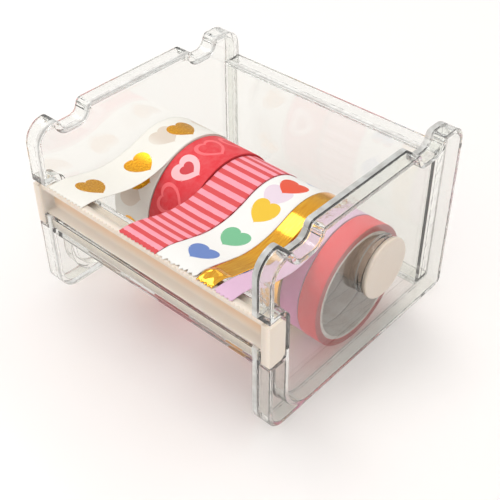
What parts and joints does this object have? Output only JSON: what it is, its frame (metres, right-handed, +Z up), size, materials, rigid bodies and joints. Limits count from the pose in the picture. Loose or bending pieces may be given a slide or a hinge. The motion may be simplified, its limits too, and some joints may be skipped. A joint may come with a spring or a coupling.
{
  "type": "tape dispenser",
  "caption": "Clear stackable desk dispenser with a cream saw-toothed cutter bar and an axle that carries rolls of decorative paper tape.",
  "frame": {"origin": "middle of the footprint, on the table", "axes": "+X to the right along the axle, +Y from the cutter bar to the back wall, +Z up"},
  "size_m": [0.092, 0.083, 0.06],
  "materials": {
    "clear_plastic": "clear moulded polystyrene, polished",
    "cream_plastic": "cream moulded plastic, satin",
    "core_board": "grey-white cardboard tube",
    "gold_heart_paper": "white paper tape printed with metallic gold hearts",
    "red_heart_paper": "red paper tape printed with pink outlined hearts",
    "striped_paper": "paper tape with red and pink cross stripes",
    "bright_heart_paper": "white paper tape printed with hearts in several colours",
    "gold_foil": "gold metallised foil tape",
    "lilac_paper": "plain lilac paper tape",
    "coral_paper": "plain coral red paper tape"
  },
  "bodies": {
    "case": {"left_side_wall": "clear_plastic", "right_side_wall": "clear_plastic", "back_wall": "clear_plastic", "front_beam": "clear_plastic", "cutter_bar": "cream_plastic", "end_gold_hearts": "gold_heart_paper", "end_stripes": "striped_paper", "end_bright_hearts": "bright_heart_paper", "end_gold_foil": "gold_foil", "end_lilac": "lilac_paper"},
    "axle": {"axle_tube": "cream_plastic", "axle_cap_left": "cream_plastic", "axle_cap_right": "cream_plastic"},
    "gold_hearts_roll": {"core_gold_hearts": "core_board", "tape_gold_hearts": "gold_heart_paper"},
    "red_hearts_roll": {"core_red_hearts": "core_board", "tape_red_hearts": "red_heart_paper"},
    "stripes_roll": {"core_stripes": "core_board", "tape_stripes": "striped_paper"},
    "bright_hearts_roll": {"core_bright_hearts": "core_board", "tape_bright_hearts": "bright_heart_paper"},
    "gold_foil_roll": {"core_gold_foil": "core_board", "tape_gold_foil": "gold_foil"},
    "lilac_roll": {"core_lilac": "core_board", "tape_lilac": "lilac_paper"},
    "coral_roll": {"core_coral": "core_board", "tape_coral": "coral_paper"}
  },
  "joints": [
    {"name": "axle_spin", "type": "hinge", "parent": "case", "child": "axle", "pos_m": [0, 0.0089, 0.0266], "axis": [1, 0, 0], "continuous": true},
    {"name": "gold_hearts_spin", "type": "hinge", "parent": "case", "child": "gold_hearts_roll", "pos_m": [-0.03209, 0.0031, 0.021], "axis": [1, 0, 0], "continuous": true},
    {"name": "red_hearts_spin", "type": "hinge", "parent": "case", "child": "red_hearts_roll", "pos_m": [-0.01688, 0.0031, 0.021], "axis": [1, 0, 0], "continuous": true},
    {"name": "stripes_spin", "type": "hinge", "parent": "case", "child": "stripes_roll", "pos_m": [-0.00196, 0.0031, 0.021], "axis": [1, 0, 0], "continuous": true},
    {"name": "bright_hearts_spin", "type": "hinge", "parent": "case", "child": "bright_hearts_roll", "pos_m": [0.01255, 0.0031, 0.021], "axis": [1, 0, 0], "continuous": true},
    {"name": "gold_foil_spin", "type": "hinge", "parent": "case", "child": "gold_foil_roll", "pos_m": [0.02306, 0.0031, 0.021], "axis": [1, 0, 0], "continuous": true},
    {"name": "lilac_spin", "type": "hinge", "parent": "case", "child": "lilac_roll", "pos_m": [0.02972, 0.0031, 0.021], "axis": [1, 0, 0], "continuous": true},
    {"name": "coral_spin", "type": "hinge", "parent": "case", "child": "coral_roll", "pos_m": [0.03639, 0.0031, 0.021], "axis": [1, 0, 0], "continuous": true}
  ]
}
